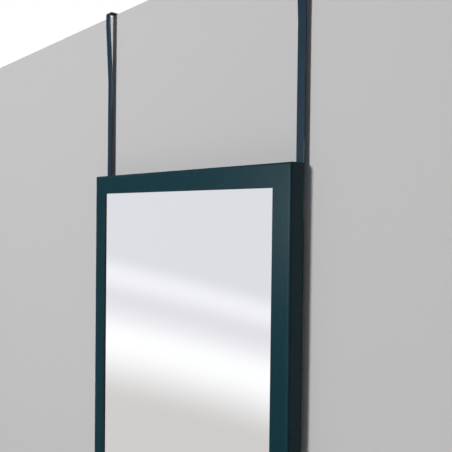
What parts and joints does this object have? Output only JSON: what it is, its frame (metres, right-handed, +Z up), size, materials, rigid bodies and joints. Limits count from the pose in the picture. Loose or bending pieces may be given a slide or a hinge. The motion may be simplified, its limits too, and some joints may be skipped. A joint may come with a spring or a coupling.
{
  "type": "over the door mirror",
  "caption": "Tall narrow framed mirror that hangs from a door's top edge on flat bands with hooks, adjustable in height.",
  "frame": {"origin": "on the door's top front edge, midway between the two hooks", "axes": "+X along the door to the right as seen from the front, +Y through the door from front to back, +Z up"},
  "size_m": [0.3, 0.0605, 1.3897],
  "materials": {
    "frame_paint": "dark petrol satin paint on a fibreboard moulding",
    "band_paint": "dark petrol powder coat on flat steel",
    "nail_steel": "bare spring steel",
    "clear_glass": "clear float glass",
    "silvering": "silver layer with grey protective paint behind it",
    "card": "grey-brown card",
    "hardboard": "smooth side of brown hardboard",
    "foam_pad": "black closed-cell foam",
    "screw_zinc": "black zinc plated",
    "bumper_rubber": "milky soft plastic"
  },
  "bodies": {
    "left_hanger": {"left_band": "band_paint", "left_top_pad": "foam_pad", "left_lip_pad": "foam_pad"},
    "mirror": {"top_rail": "frame_paint", "bottom_rail": "frame_paint", "left_stile": "frame_paint", "right_stile": "frame_paint", "top_left_nails": "nail_steel", "top_right_nails": "nail_steel", "bottom_left_nails": "nail_steel", "bottom_right_nails": "nail_steel", "mirror_glass": "clear_glass", "silver_coat": "silvering", "card_sheet": "card", "backing_board": "hardboard", "top_points": "nail_steel", "bottom_points": "nail_steel", "left_points": "nail_steel", "right_points": "nail_steel", "left_upper_screw": "screw_zinc", "left_lower_screw": "screw_zinc", "right_upper_screw": "screw_zinc", "right_lower_screw": "screw_zinc", "left_upper_washer": "screw_zinc", "left_lower_washer": "screw_zinc", "right_upper_washer": "screw_zinc", "right_lower_washer": "screw_zinc", "upper_left_bumper": "bumper_rubber", "upper_right_bumper": "bumper_rubber", "lower_left_bumper": "bumper_rubber", "lower_right_bumper": "bumper_rubber"},
    "right_hanger": {"right_band": "band_paint", "right_top_pad": "foam_pad", "right_lip_pad": "foam_pad"}
  },
  "joints": [
    {"name": "left_height", "type": "slide", "parent": "left_hanger", "child": "mirror", "axis": [0, 0, 1], "range_m": [-0.06, 0.06]},
    {"name": "right_height", "type": "slide", "parent": "mirror", "child": "right_hanger", "axis": [0, 0, 1], "range_m": [-0.06, 0.06]}
  ],
  "couplings": [
    {"joint": "right_height", "follows": "left_height", "ratio": -1}
  ]
}
